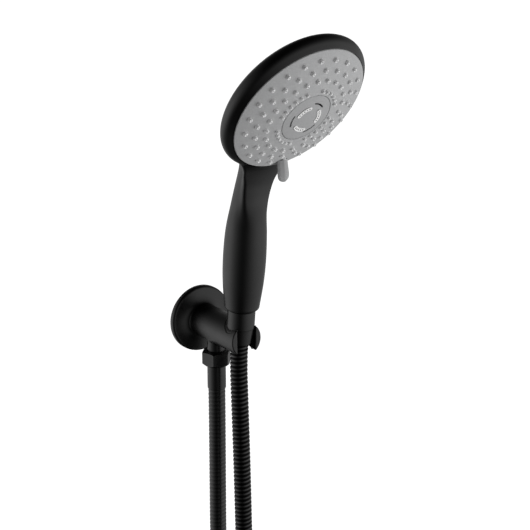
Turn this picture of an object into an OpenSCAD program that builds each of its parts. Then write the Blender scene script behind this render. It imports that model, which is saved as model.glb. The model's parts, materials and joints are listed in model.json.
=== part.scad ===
// Handheld shower head in a wall bracket that is also its water outlet, with the hose that joins them.
// +Y points into the wall, +Z is up, and the origin is the centre of the bracket's wall face.

/* [Bracket] */
// Diameter of the round wall flange
flange_d = 61; // [58:1:66]
// Diameter of the bracket arm
arm_d = 30; // [30:0.5:32]
// Reach of the arm from the wall
arm_reach = 77; // [76:0.5:79]
// Distance of the cradle's axis from the wall
cradle_reach = 66.5; // [66:0.5:67]
// Forward lean of the cradle's axis
cradle_tilt = 6; // [5:0.5:7]
// Width of the slot that lets the hose into the cradle
slot_w = 19; // [17:0.5:20]
// Distance of the water outlet's axis from the wall
outlet_reach = 28.5; // [28:0.5:29]

/* [Handset] */
// Turn of the handset in its cradle, away from straight ahead
handset_turn = 5; // [0:1:10]
// Largest radius of the handle
grip_r = 18.4; // [17.8:0.1:18.6]
// Radius of the curve that brings the handle's top forward
bend_r = 209; // [205:1:213]
// Lean of the spray face against the handle's axis
face_tilt = 29; // [28:0.5:30]
// Distance of the spray face's rim centre in front of the handle's axis
face_reach = 55; // [54.5:0.5:55.5]
// Height of the spray face's rim centre above the cradle's centre, along the handle
face_height = 213; // [212:0.5:214]
// Thickness of the moulded walls
wall = 2.6; // [2.4:0.1:2.8]

/* [Spray head] */
// Outer radius of the head
head_r = 65; // [64.5:0.25:66]
// Radius of the spray face
face_r = 59; // [58.5:0.25:59.25]
// Height of the spray face's dome
dome_h = 10.5; // [10:0.25:10.5]
// Depth of the head behind the spray face's rim
head_depth = 28; // [28:0.5:30]
// Nozzles in each of the outer rings
nozzles = 22; // [18:1:24]
// Turn of the spray face and its lever from the middle of the handle
selector_turn = 8; // [0:1:10]
// Forward lean of the selector lever
lever_lean = 35; // [32:1:38]
// Length of the selector lever
lever_len = 20.5; // [18:0.5:24]
// Width of the selector lever
lever_w = 9.6; // [8:0.2:10]

/* [Hose] */
// Outside diameter of the hose
hose_d = 15.5; // [14:0.5:15.5]
// Straight length of the folded hose's runs
hank_run = 112; // [90:1:120]
// Distance between the two sides of the folded hose, centre to centre
hank_w = 90; // [90:1:96]

/* [Hidden] */
$fn = 64;

flange_r = flange_d / 2;
arm_r = arm_d / 2;
hose_r = hose_d / 2;
thread_r = 10.48;     // outside of a G 1/2 thread
thread_bore = 10.55;
seat_gap = 0.32;      // between the cone nut and the cradle
liner_t = 1.2;
handle_foot = 28;     // height of the handle's lower end
nut_top = handle_foot - 0.6;
nut_bottom = -4.3;    // lower end of the cone nut
hose_start = -4.65;   // height where the hose leaves the handset's fitting
bend_start = 90;      // height where the handle begins to curve
skin_end = 195;       // length along the handle where it is well inside the head
boss_bottom = -23.2;  // lower end of the outlet boss
hex_top = -23.8;
hex_bottom = -36.8;
hex_turn = -14;
flat_r = 11.78;       // half the distance across the hex nut's flats
collar_r = 8.4;       // smooth collar below the hex nut
collar_end = -59.5;
tail_bore = 3.3;      // bore of the tails inside the hose's ends
dome_r = (face_r * face_r + dome_h * dome_h) / (2 * dome_h);
rim_z = -8.6;         // height of the head's widest circle in the head's frame
lip_slope = 42;       // fall of the lip beside the face
lip_round = 7.1;      // radius of the lip's rounding
rings = [[51.4, 0], [43.4, 0.5], [35.1, 0]];    // radius and stagger of the outer nozzle rings
inner_ring_r = 26.1;
disc_r = 22;
port_r = 36;          // circle of the water ports
groove_r = 43.5;      // circle of the seal round the ports
screw_r = 49.5;       // circle of the screws that hold the waterway
detents = [-25, 0, 25];
boss_r = 6;           // boss that the turbine turns on
shoulder_r = 3;       // shoulder of the pivot screw

// Route of each hanging stretch of hose, from its fitting down to the folded part
upper_route = [
    [0, -66, -5], [0, -64.9, -16], [0, -64.5, -32], [0, -65.2, -50], [0, -66.6, -80],
    [0, -67.8, -105], [0, -69, -135], [0, -70.2, -170], [0, -71, -205], [-1, -71, -232],
    [-7, -70, -251], [-20, -66.5, -270], [-35, -61.5, -288], [-43, -58.8, -304], [-45, -58, -320]
];
lower_route = [
    [0, -28.5, -59.5], [0, -28.5, -90], [0, -28.3, -125], [0, -28, -165], [0, -28, -205],
    [1, -28.2, -232], [7, -29.6, -251], [20, -33.2, -270], [35, -38.4, -288], [43, -41.2, -304],
    [45, -42, -320]
];
hank_top = -320;
hank_y = -50;
hank_half = hose_d;   // half of the folded hose's thickness: it lies two deep

// ---- frames: each places its children where that part of the object is ----

module arm_axis() rotate([90, 0, 0]) children();
module cradle() translate([0, -cradle_reach, 0]) rotate([cradle_tilt, 0, 0]) children();
module handset() cradle() rotate([0, 0, handset_turn]) children();
module head() handset() translate([0, -face_reach, face_height]) rotate([90 + face_tilt, 0, 0]) children();
module spray() head() rotate([0, 0, selector_turn]) children();

// ---- shapes that repeat ----

module tube(r_out, r_in, z0, z1) difference() {
    translate([0, 0, z0]) cylinder(r = r_out, h = z1 - z0);
    translate([0, 0, z0 - 1]) cylinder(r = r_in, h = z1 - z0 + 2);
}

module post(r, z0, z1) translate([0, 0, z0]) cylinder(r = r, h = z1 - z0);

module o_ring(r, section_r, z) translate([0, 0, z])
    rotate_extrude() translate([r, 0]) circle(section_r, $fn = 24);

// Skin over rings of equal point count, closed at both ends
function skin_faces(n_rings, n) = concat(
    [[for (i = [0 : n - 1]) i]],
    [for (k = [0 : n_rings - 2]) for (i = [0 : n - 1]) let (j = (i + 1) % n)
        each [[k * n + i, (k + 1) * n + i, (k + 1) * n + j], [k * n + i, (k + 1) * n + j, k * n + j]]],
    [[for (i = [n - 1 : -1 : 0]) (n_rings - 1) * n + i]]
);

function unit(v) = v / norm(v);

// Ring of a round cord at point p, square to direction t
function cord_ring(p, t, r, n) = let (u = unit(cross([0, 1, 0], t)), v = cross(t, u))
    [for (i = [0 : n - 1]) p + r * (cos(360 * i / n) * u + sin(360 * i / n) * v)];

module cord_tube(route, r, n = 12) {
    last = len(route) - 1;
    points = [for (k = [0 : last])
        let (t = unit(route[min(k + 1, last)] - route[max(k - 1, 0)]))
        each cord_ring(route[k], t, r, n)];
    polyhedron(points, skin_faces(last + 1, n), convexity = 4);
}

// Round-wire compression spring standing on z = 0
module coil_spring(r, wire_r, height, turns, steps = 12, n = 6) {
    count = turns * steps;
    points = [for (k = [0 : count])
        let (a = 360 * k / steps, z = wire_r + (height - 2 * wire_r) * k / count, c = [cos(a), sin(a), 0])
        each [for (b = [0 : 360 / n : 359]) (r + wire_r * cos(b)) * c + [0, 0, z + wire_r * sin(b)]]];
    polyhedron(points, skin_faces(count + 1, n), convexity = 8);
}

module stadium(half_w, run) {
    translate([-half_w, -run]) square([2 * half_w, run]);
    circle(half_w);
    translate([0, -run]) circle(half_w);
}

// ---- bracket ----

module wall_flange() color("#1b1b1c") arm_axis() difference() {
    rotate_extrude($fn = 120) polygon([
        [arm_r + 0.1, 0], [flange_r, 0], [flange_r, 3.2], [flange_r - 0.7, 4.7], [flange_r - 2.4, 5.4],
        [arm_r + 1.8, 6.3], [arm_r + 0.1, 8]
    ]);
    tube(25.2, 10, -1, 1.8);
}

// Solid of the cradle's hole, grown by extra all round
module cradle_hole(extra) cradle() rotate_extrude($fn = 96) polygon([
    [0, -22], [9.3 + extra, -22], [11.68 + extra, 10], [12.1 + extra, 12], [12.1 + extra, 26], [0, 26]
]);

module cradle_slot() translate([-slot_w / 2, -arm_reach - 5, -20])
    cube([slot_w, arm_reach + 5 - cradle_reach, 40]);

module bracket_arm() color("#1b1b1c") difference() {
    union() {
        arm_axis() post(arm_r, 3, arm_reach);
        translate([0, -outlet_reach, 0]) post(8.2, boss_bottom, -8);
    }
    arm_axis() post(thread_bore, 2, 16);
    arm_axis() post(7.2, 15, 36);
    translate([0, -outlet_reach, 0]) post(5.2, boss_bottom - 1, 0);
    translate([0, -13.2, 0]) post(2.1, -16, -9);
    cradle_hole(seat_gap + liner_t);
    cradle_slot();
}

module cradle_liner() color("#141415") intersection() {
    difference() {
        cradle_hole(seat_gap + liner_t);
        cradle_hole(seat_gap);
        cradle_slot();
    }
    arm_axis() post(arm_r, 40, arm_reach);
}

module wall_seal() color("#2a2a2a") arm_axis() tube(25, 11, 0.2, 1.7);

module inlet_nipple() color("#b5985a") arm_axis() difference() {
    union() {
        post(thread_r, -14, 0);
        post(10.1, -0.1, 3);
        post(thread_r, 3, 15.8);
    }
    post(6.5, -15, 17);
}

module grub_screw() color("#555555") translate([0, -13.2, 0]) difference() {
    post(2, -14.6, -10.6);
    translate([0, 0, -15]) cylinder(r = 1.15, h = 2.4, $fn = 6);
}

module outlet_nipple() color("#1b1b1c") translate([0, -outlet_reach, 0]) difference() {
    union() {
        post(5.15, boss_bottom - 0.1, -14);
        post(thread_r, hex_bottom + 6.4, boss_bottom);
    }
    post(3.8, hex_bottom, -13);
}

module valve_body() color("#e8e8e4") arm_axis() difference() {
    post(7.1, 16, 24);
    post(3.2, 15, 17.6);
    post(5, 17.5, 22.8);
    post(1.28, 22, 25);
    for (a = [0, 120, 240]) rotate([0, 0, a]) translate([3.3, 0, 0]) post(1.2, 22, 25);
}

module valve_poppet() color("#c9c9c4") arm_axis() {
    post(4.2, 17.9, 19);
    post(1.2, 18.9, 25.2);
}

module valve_spring() color("#b0b0b0") arm_axis() translate([0, 0, 19.05]) coil_spring(2.9, 0.3, 3.7, 4);

// ---- hose and its fittings ----

module outlet_washer() color("#303030") translate([0, -outlet_reach, 0])
    tube(9.3, 5.5, hex_bottom + 4.4, hex_bottom + 6.4);

module hex_nut() color("#1b1b1c") translate([0, -outlet_reach, 0]) difference() {
    intersection() {
        rotate([0, 0, hex_turn]) translate([0, 0, hex_bottom])
            cylinder(r = flat_r / cos(30), h = hex_top - hex_bottom, $fn = 6);
        rotate_extrude() polygon([[0, hex_bottom], [flat_r - 1.2, hex_bottom], [flat_r + 2, hex_bottom + 2.2],
            [flat_r + 2, hex_top - 0.8], [flat_r + 1, hex_top], [0, hex_top]]);
    }
    post(thread_bore, hex_bottom + 2.2, hex_top + 1);
    post(collar_r + 0.15, hex_bottom - 1, hex_bottom + 3);
}

module lower_tail() color("#b5985a") translate([0, -outlet_reach, 0]) difference() {
    union() {
        post(9.2, hex_bottom + 2.3, hex_bottom + 4.3);
        post(4.4, collar_end + 0.5, hex_bottom + 2.4);
    }
    post(tail_bore, collar_end, hex_bottom + 5);
}

module lower_ferrule() color("#1b1b1c") translate([0, -outlet_reach, 0])
    tube(collar_r, 4.45, collar_end, hex_bottom + 2.1);

module upper_strand() color("#202021") cord_tube(upper_route, hose_r);

module lower_strand() color("#202021") cord_tube(lower_route, hose_r);

module hose_hank() color("#202021") translate([0, hank_y, hank_top]) rotate([90, 0, 0])
    linear_extrude(height = 2 * hank_half, center = true) difference() {
        stadium(hank_w / 2 + hose_r, hank_run);
        stadium(hank_w / 2 - hose_r, hank_run);
    }

module hank_strap() color("#101010") translate([0, hank_y, hank_top - hank_run / 2 - 8]) {
    half = hank_w / 2 + hose_r;
    linear_extrude(height = 16) difference() {
        square([2 * half + 3, 2 * hank_half + 3], center = true);
        square([2 * half + 0.2, 2 * hank_half + 0.2], center = true);
    }
}

module upper_ferrule() color("#1b1b1c") cradle() tube(7.95, 4.45, hose_start, 4);

module upper_tail() color("#b5985a") cradle() difference() {
    union() {
        post(9, 4.3, 6.3);
        post(4.4, hose_start + 0.2, 4.4);
    }
    post(tail_bore, hose_start - 1, 7);
}

// ---- handset: inlet ----

module cone_nut() color("#1b1b1c") handset() rotate_extrude($fn = 96) polygon([
    [8.3, nut_bottom], [9.9, nut_bottom], [10.65, nut_bottom + 0.7], [11.68, 10], [12.1, 12],
    [12.1, nut_top - 0.8], [11.4, nut_top], [thread_bore, nut_top], [thread_bore, 8.6], [9.3, 8.6],
    [9.3, 4], [8.3, 4]
]);

module filter_washer() color("#303030") handset() {
    tube(9, 5.5, 6.6, 8.5);
    difference() {
        post(5.6, 7.2, 7.7);
        for (x = [-3 : 1.5 : 3]) for (y = [-3 : 1.5 : 3]) translate([x, y, 0]) post(0.5, 6, 8);
    }
}

module inlet_insert() color("#b5985a") handset() difference() {
    union() {
        post(thread_r, 8.8, handle_foot + 2.7);
        post(12.4, handle_foot + 2.6, 42);
    }
    post(6.05, 8, 31);
    post(5.2, 30, 36);
    post(9.1, 34, 43);
}

module flow_limiter() color("#3f6f8f") handset() difference() {
    post(5.9, 11, 16);
    translate([0, 0, 13]) rotate_extrude() translate([6, 0]) circle(0.85, $fn = 24);
    for (a = [0 : 60 : 300]) rotate([0, 0, a]) translate([3.2, 0, 0]) post(0.8, 10, 17);
}

module limiter_ring() color("#202020") handset() difference() {
    o_ring(6, 0.8, 13);
    tube(8, 6.02, 11, 15);
}

module core_ring() color("#202020") handset() difference() {
    o_ring(8.6, 0.9, 38);
    tube(11, 9.05, 36, 40);
}

// ---- handset: waterway ----

// Centre of the handle at length s along it, and its lean there
function handle_lean(s) = s < bend_start ? 0 : (s - bend_start) / bend_r * 180 / PI;
function handle_centre(s) = s < bend_start ? [0, 0, s]
    : [0, -bend_r * (1 - cos(handle_lean(s))), bend_start + bend_r * sin(handle_lean(s))];

module handle_arc(r) translate([0, -bend_r, bend_start]) rotate([90, 0, 90])
    rotate_extrude(angle = face_tilt, $fn = 360) translate([bend_r, 0]) circle(r, $fn = 48);

module waterway_core() color("#dcdcd6") difference() {
    union() {
        handset() post(8.95, 34.5, bend_start + 0.4);
        handset() handle_arc(5.2);
        head() translate([0, -33.4, -14.68]) rotate([-90, 0, 0]) post(5.9, 0, 2.4);
        head() post(54, -11.4, -8.5);
        head() post(8, -18.5, -11);
        head() translate([0, -port_r, 0]) post(7.2, -15, -11);
    }
    handset() tube(10, 7.6, 37, 39);
    handset() post(6, 34, bend_start - 6);
    handset() post(4, bend_start - 8, bend_start + 0.6);
    handset() handle_arc(3.6);
    head() tube(groove_r + 1.2, groove_r - 1.2, -10, -8);
    head() post(4.5, -16.5, -8);
    head() translate([0, -port_r, 0]) post(5.7, -10.9, -8);
    head() translate([0, -port_r, 0]) post(3.3, -14, -8);
    at_screws() post(1.7, -13, -8);
    at_screws() post(3.2, -9.9, -8);
}

module at_screws() for (a = [90, 210, 330]) head() rotate([0, 0, a]) translate([screw_r, 0, 0]) children();

module core_screws() color("#a8a8a8") at_screws() {
    difference() {
        post(3, -9.8, -8.5);
        translate([-2, -0.4, -9.2]) cube([4, 0.8, 2]);
    }
    post(1.45, -17.5, -9.7);
}

module thread_insert() color("#b5985a") head() tube(4.4, 2.05, -16.3, -8.5);

module face_ring() color("#202020") head() o_ring(groove_r, 0.95, -9.05);

module port_seal() color("#303030") head() translate([0, -port_r, 0]) tube(5.5, 3.3, -9.5, -8.1);

module seal_spring() color("#b0b0b0") head() translate([0, -port_r, -10.85]) coil_spring(4.4, 0.25, 1.3, 1.5);

module detent_leaf() color("#b0b0b0") head() rotate([0, 0, -90]) {
    difference() {
        translate([10, -3, -8.45]) cube([12, 6, 0.35]);
        translate([12.5, 0, 0]) post(0.9, -9, -7);
    }
}

// ---- handset: shell ----

// Half widths of the handle along it: across, and from front to back
function grip_foot() = [[handle_foot, 13.6], [handle_foot + 0.8, 14.7], [handle_foot + 3, 15.4], [36, 16]];
function grip_swell() = [[50, grip_r - 0.9], [62, grip_r - 0.2], [76, grip_r], [90, grip_r - 0.4]];
function handle_x(s) = lookup(s, concat(grip_foot(), grip_swell(),
    [[104, grip_r - 1.3], [118, grip_r - 2.6], [132, 15], [150, 14.8], [skin_end, 15]]));
function handle_y(s) = lookup(s, concat(grip_foot(), grip_swell(),
    [[104, grip_r - 1.6], [118, grip_r - 3.4], [132, 13.6], [150, 12.6], [skin_end, 11.4]]));

module handle_skin(stations, inset, n = 24) {
    points = [for (s = stations)
        let (c = handle_centre(s), lean = handle_lean(s), x = handle_x(s) - inset, y = handle_y(s) - inset)
        each [for (i = [0 : n - 1]) c + [x * cos(360 * i / n), y * sin(360 * i / n) * cos(lean),
            y * sin(360 * i / n) * sin(lean)]]];
    polyhedron(points, skin_faces(len(stations), n), convexity = 4);
}

// Points of a quarter ellipse from its side to its foot
function quarter(r, z0, depth, n = 14) = [for (i = [0 : n])
    [r * cos(90 * i / n), z0 - depth * sin(90 * i / n)]];

// Points of the lip, from its slope beside the face round to the widest circle
function lip(n = 6) = [for (i = [0 : n - 1]) let (a = (90 - lip_slope) * (1 - i / n))
    [head_r - lip_round * (1 - cos(a)), rim_z + lip_round * sin(a)]];

module screw_bosses() at_screws() tube(3.4, 1.5, -19.4, -11.5);

module housing_shell() difference() {
    union() {
        head() rotate_extrude($fn = 144) polygon(concat(
            [[0, -4.5], [face_r + 0.4, -4.5], [face_r + 0.4, -0.3]], lip(),
            quarter(head_r, rim_z, head_depth + rim_z)));
        handset() handle_skin([handle_foot, handle_foot + 0.8, handle_foot + 3, 36, 50, 62, 76, 90, 104, 118,
            132, 141, 150, 160, 172, 184, skin_end], 0);
    }
    head() rotate_extrude($fn = 144) polygon(concat([[0, 14], [face_r + 0.4, 14], [face_r + 0.4, -5],
        [head_r - wall - 0.4, -6]], quarter(head_r - wall, rim_z - 0.4, head_depth + rim_z - wall + 0.4)));
    handset() handle_skin([handle_foot + wall, 36, 50, 76, 104, 132, 150, 172, skin_end - 5], wall);
    handset() post(10.65, handle_foot - 2, handle_foot + wall + 1);
}

module rear_housing() color("#1b1b1c") union() {
    housing_shell();
    screw_bosses();
}

// ---- spray head ----

// Solid dome under the spray face's outside, less a depth
module dome_cap(less, r) rotate_extrude($fn = 144) intersection() {
    translate([0, dome_h - dome_r]) circle(dome_r - less, $fn = 720);
    translate([0, -30]) square([r, 60]);
}

module dome_shell(less, thick, r_in, r_out) difference() {
    dome_cap(less, r_out);
    dome_cap(less + thick, r_out + 1);
    post(r_in, -40, 20);
}

// One child at every nozzle of the outer rings, then of the four short rows of the inner ring
module at_nozzles() for (ring = rings) for (k = [0 : nozzles - 1])
    rotate([0, 0, 90 + 360 * (k + ring[1]) / nozzles]) translate([ring[0], 0, 0]) children();

module at_inner_nozzles() for (q = [0 : 3]) for (k = [0 : 5])
    rotate([0, 0, 135 + 90 * q + 11.4 * (k - 2.5)]) translate([inner_ring_r, 0, 0]) children();

function dome_z(r) = dome_h - dome_r + sqrt(dome_r * dome_r - r * r);

module selector_disc() color("#cfd4d6") spray() difference() {
    post(46, -7.8, -5.85);
    post(shoulder_r + 0.05, -9, -5);
    for (k = [0 : 2]) rotate([0, 0, detents[k]]) translate([0, -port_r, 0]) post(3, -9, -5);
    for (a = detents) rotate([0, 0, a]) translate([0, -20, 0]) post(1.2, -8, -7.2);
}

module chamber_wall(r_in, r_out) difference() {
    dome_cap(3.7, r_out);
    post(r_in, -40, 20);
    post(r_out + 1, -40, -4.3);
}

module spray_chamber() color("#dcdcd6") spray() difference() {
    union() {
        post(56.6, -5.8, -4.2);
        chamber_wall(54.6, 56.6);
        chamber_wall(29.6, 31.2);
        chamber_wall(20.6, disc_r);
        post(boss_r, -4.3, 4.7);
    }
    post(shoulder_r + 0.05, -7, 6);
    rotate([0, 0, detents[0]]) translate([0, -port_r, 0]) post(3, -7, -4);
    translate([0, -26, 0]) post(2.8, -7, -4);
    rotate([0, 0, detents[2]]) translate([0, -14, 0]) post(2.6, -7, -4);
}

module nozzle_mat() color("#d9dbdb") spray() difference() {
    union() {
        dome_shell(2.05, 1.6, 22.5, 56.8);
        for (ring = rings) for (k = [0 : nozzles - 1])
            rotate([0, 0, 90 + 360 * (k + ring[1]) / nozzles])
                translate([ring[0], 0, dome_z(ring[0]) - 3])
                    cylinder(r1 = 1.75, r2 = 1.25, h = 4.8, $fn = 24);
        at_inner_nozzles() translate([0, 0, dome_z(inner_ring_r) - 3])
            cylinder(r1 = 1.2, r2 = 0.8, h = 4.2, $fn = 24);
    }
    at_nozzles() post(0.55, -5, 16);
    at_inner_nozzles() post(0.4, -5, 16);
}

module spray_face() color("#8f9396") spray() difference() {
    union() {
        dome_shell(0, 2, disc_r + 0.3, face_r);
        difference() {
            dome_cap(1.9, face_r);
            post(face_r - 2, -40, 20);
            post(face_r + 1, -40, -5.4);
        }
    }
    at_nozzles() post(1.85, -5, 16);
    at_inner_nozzles() post(1.3, -5, 16);
}

module selector_lever() color("#a3a7aa") spray() difference() {
    translate([-0.8, -52.5, 0.6]) rotate([-lever_lean, 0, 0]) linear_extrude(height = 4.4) {
        translate([-lever_w / 2, -lever_len + lever_w / 2]) square([lever_w, lever_len - lever_w / 2 + 0.5]);
        translate([0, -lever_len + lever_w / 2]) circle(lever_w / 2);
    }
    dome_cap(-0.02, 70);
    post(face_r + 6, -10, 0.9);
    translate([0, -rings[0][0], 0]) post(2.3, -5, 16);
}

module centre_disc() color("#95999c") spray() difference() {
    dome_shell(0, 2, 0, disc_r);
    for (a = [60, 180, 300]) rotate([0, 0, a - 22])
        rotate_extrude(angle = 44) translate([13.6, 5]) square([1.2, 8]);
    for (a = [0, 120, 240]) for (k = [0 : 5]) rotate([0, 0, a + 8.5 * (k - 2.5)])
        translate([12.6, 0, 0]) post(0.5, 5, 12);
}

module turbine() color("#e0e0dc") spray() {
    tube(8, boss_r + 0.08, -3.8, 4.4);
    difference() {
        union() {
            tube(19.6, 7.9, 3.2, 4.4);
            for (a = [0 : 45 : 315]) rotate([0, 0, a]) translate([7.8, -0.6, -3.8]) cube([11.6, 1.2, 7.1]);
        }
        translate([0, 0, 2]) intersection() {
            tube(16, 10, 0, 4);
            translate([-20, 0, 0]) cube([40, 20, 4]);
        }
    }
}

module pivot_screw() color("#a8a8a8") spray() {
    difference() {
        post(5.2, 5.9, 8.1);
        translate([0, 0, 6.8]) cylinder(r = 1.75, h = 2, $fn = 6);
    }
    post(shoulder_r, -7.9, 6);
    post(2, -15.5, -7.8);
}

module screw_washer() color("#c0c0c0") spray() tube(8.6, shoulder_r + 0.05, 5, 5.85);

wall_flange();
bracket_arm();
cradle_liner();
wall_seal();
inlet_nipple();
grub_screw();
outlet_nipple();
valve_body();
valve_poppet();
valve_spring();
outlet_washer();
hex_nut();
lower_tail();
lower_ferrule();
lower_strand();
hose_hank();
hank_strap();
upper_strand();
upper_ferrule();
upper_tail();
filter_washer();
cone_nut();
inlet_insert();
flow_limiter();
limiter_ring();
core_ring();
waterway_core();
rear_housing();
core_screws();
thread_insert();
face_ring();
port_seal();
seal_spring();
detent_leaf();
selector_disc();
spray_chamber();
nozzle_mat();
spray_face();
selector_lever();
centre_disc();
turbine();
pivot_screw();
screw_washer();
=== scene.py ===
import json
import math

import bmesh
import bpy
import numpy as np
import openvdb
from mathutils import Matrix, Vector


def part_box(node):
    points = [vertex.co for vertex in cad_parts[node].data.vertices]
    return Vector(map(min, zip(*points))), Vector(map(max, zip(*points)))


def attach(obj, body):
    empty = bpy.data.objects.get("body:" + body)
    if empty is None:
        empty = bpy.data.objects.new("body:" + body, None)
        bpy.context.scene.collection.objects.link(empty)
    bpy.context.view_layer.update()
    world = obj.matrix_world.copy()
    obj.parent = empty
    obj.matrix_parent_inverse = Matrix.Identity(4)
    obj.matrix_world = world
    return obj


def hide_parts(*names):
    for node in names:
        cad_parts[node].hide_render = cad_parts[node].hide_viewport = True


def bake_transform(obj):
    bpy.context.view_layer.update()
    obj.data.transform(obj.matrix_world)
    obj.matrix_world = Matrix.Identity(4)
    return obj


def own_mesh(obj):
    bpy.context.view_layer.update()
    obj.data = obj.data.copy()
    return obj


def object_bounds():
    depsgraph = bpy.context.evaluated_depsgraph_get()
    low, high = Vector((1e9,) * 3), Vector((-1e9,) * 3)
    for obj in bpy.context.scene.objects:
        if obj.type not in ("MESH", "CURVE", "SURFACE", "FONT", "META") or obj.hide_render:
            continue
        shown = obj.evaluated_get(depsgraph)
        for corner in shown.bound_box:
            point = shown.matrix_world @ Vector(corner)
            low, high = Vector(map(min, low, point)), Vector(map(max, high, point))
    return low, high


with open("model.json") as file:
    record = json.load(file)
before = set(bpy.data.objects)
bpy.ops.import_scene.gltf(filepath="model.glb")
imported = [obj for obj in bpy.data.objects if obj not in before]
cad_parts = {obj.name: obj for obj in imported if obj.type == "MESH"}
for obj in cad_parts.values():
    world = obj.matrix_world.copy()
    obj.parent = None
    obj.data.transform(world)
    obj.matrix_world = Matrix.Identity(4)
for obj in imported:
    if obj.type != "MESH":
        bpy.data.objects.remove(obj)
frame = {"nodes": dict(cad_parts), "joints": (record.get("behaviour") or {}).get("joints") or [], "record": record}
NODES = frame["nodes"]
JOINTS = {j["name"]: j for j in frame["joints"]}
size_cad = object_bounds()
MM = 0.001

# Shapes are in millimetres. The frame's boxes and joints, the camera and the light are in metres.

# ------------------------------ frames

X = Vector((1, 0, 0))
SELECTOR_TURN = 8    # how far the lever stands off the middle, in degrees


def frame_matrix(x, z, origin):
    """The frame with those two axes and that origin."""
    y = z.cross(x)
    m = Matrix((x, y, z)).transposed().to_4x4()
    m.translation = origin
    return m


def turned(m, degrees):
    return m @ Matrix.Rotation(math.radians(degrees), 4, "Z")


cradle_axis = Vector(JOINTS["handset_swivel"]["axis"]).normalized()
cradle_at = Vector(JOINTS["handset_swivel"]["pos_m"])
head_axis = Vector(JOINTS["spray_selector"]["axis"]).normalized()
head_at = Vector(JOINTS["spray_selector"]["pos_m"])
handset_x = cradle_axis.cross(head_axis).normalized()

CRADLE = frame_matrix(X, cradle_axis, cradle_at)
HANDSET = frame_matrix(handset_x, cradle_axis, cradle_at)
HEAD = frame_matrix(handset_x, head_axis, head_at)
SPRAY = turned(HEAD, SELECTOR_TURN)
WALL = frame_matrix(X, Vector((0, -1, 0)), Vector())


def box_mid(node):
    lo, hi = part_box(node)
    return (lo + hi) / 2


outlet_at = box_mid("outlet_nipple")
OUTLET = Matrix.Translation((outlet_at.x, outlet_at.y, 0))

# ------------------------------ materials

RIDGE_SPEC, GROOVE_PAINTED_SHADE_SPEC = 0.62, 0.03    # how much the hose's ridges reflect, and how little its grooves do: painted shade down in the grooves
NEAR_BLACK = (0.0012, 0.0012, 0.0013)
METAL_GRAIN = {"rough_vary": 0.06, "patch": 6.0, "tint_size": 5.0}
NOISE_DETAIL = 3.0
NOISE_LOW, NOISE_HIGH = 0.3, 0.7    # between them lies nearly all of the noise


def material(name, base, rough, metallic=0.0, spec=0.5):
    m = bpy.data.materials.new(name)
    m.use_nodes = True
    b = m.node_tree.nodes["Principled BSDF"]
    b.inputs["Base Color"].default_value = (*base, 1)
    b.inputs["Roughness"].default_value = rough
    b.inputs["Metallic"].default_value = metallic
    b.inputs["Specular IOR Level"].default_value = spec
    return m


def noise(t, coords, size):
    """Noise with patches of that size in millimetres."""
    n = t.nodes.new("ShaderNodeTexNoise")
    n.inputs["Scale"].default_value = 1 / (size * MM)
    n.inputs["Detail"].default_value = NOISE_DETAIL
    t.links.new(coords, n.inputs["Vector"])
    return n.outputs["Fac"]


def between(t, value, low, high):
    """The noise's middle range spread from low to high."""
    n = t.nodes.new("ShaderNodeMapRange")
    n.inputs["From Min"].default_value = NOISE_LOW
    n.inputs["From Max"].default_value = NOISE_HIGH
    n.inputs["To Min"].default_value = low
    n.inputs["To Max"].default_value = high
    t.links.new(value, n.inputs["Value"])
    return n.outputs["Result"]


def grain(m, size, depth, tint_vary, tint_size=1.0, rough_vary=0.03, patch=14.0):
    """Moulded texture on material m, with its sizes in millimetres.

    Bumps of that size and depth, a roughness that wanders from patch to patch, and a tint that varies."""
    t = m.node_tree
    b = t.nodes["Principled BSDF"]
    coords = t.nodes.new("ShaderNodeTexCoord").outputs["Object"]
    bump = t.nodes.new("ShaderNodeBump")
    bump.inputs["Strength"].default_value = 1.0
    bump.inputs["Distance"].default_value = depth * MM
    t.links.new(noise(t, coords, size), bump.inputs["Height"])
    t.links.new(bump.outputs["Normal"], b.inputs["Normal"])
    rough = b.inputs["Roughness"].default_value
    wander = between(t, noise(t, coords, patch), rough - rough_vary, rough + rough_vary)
    t.links.new(wander, b.inputs["Roughness"])
    base = b.inputs["Base Color"].default_value[:3]
    mix = t.nodes.new("ShaderNodeMix")
    mix.data_type = "RGBA"
    mix.inputs["A"].default_value = (*[c * (1 - tint_vary) for c in base], 1)
    mix.inputs["B"].default_value = (*[c * (1 + tint_vary) for c in base], 1)
    t.links.new(between(t, noise(t, coords, tint_size), 0.0, 1.0), mix.inputs["Factor"])
    t.links.new(mix.outputs["Result"], b.inputs["Base Color"])
    return m


def paint_groove_shade(m):
    """Painted shade: less reflection down in the hose's grooves, by the mesh's attribute of that name."""
    t = m.node_tree
    painted_groove_shade = t.nodes.new("ShaderNodeAttribute")
    painted_groove_shade.attribute_name = "painted_groove_shade"
    fade = t.nodes.new("ShaderNodeMapRange")
    fade.inputs["To Min"].default_value = RIDGE_SPEC
    fade.inputs["To Max"].default_value = GROOVE_PAINTED_SHADE_SPEC
    t.links.new(painted_groove_shade.outputs["Fac"], fade.inputs["Value"])
    t.links.new(fade.outputs["Result"], t.nodes["Principled BSDF"].inputs["Specular IOR Level"])


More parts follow.
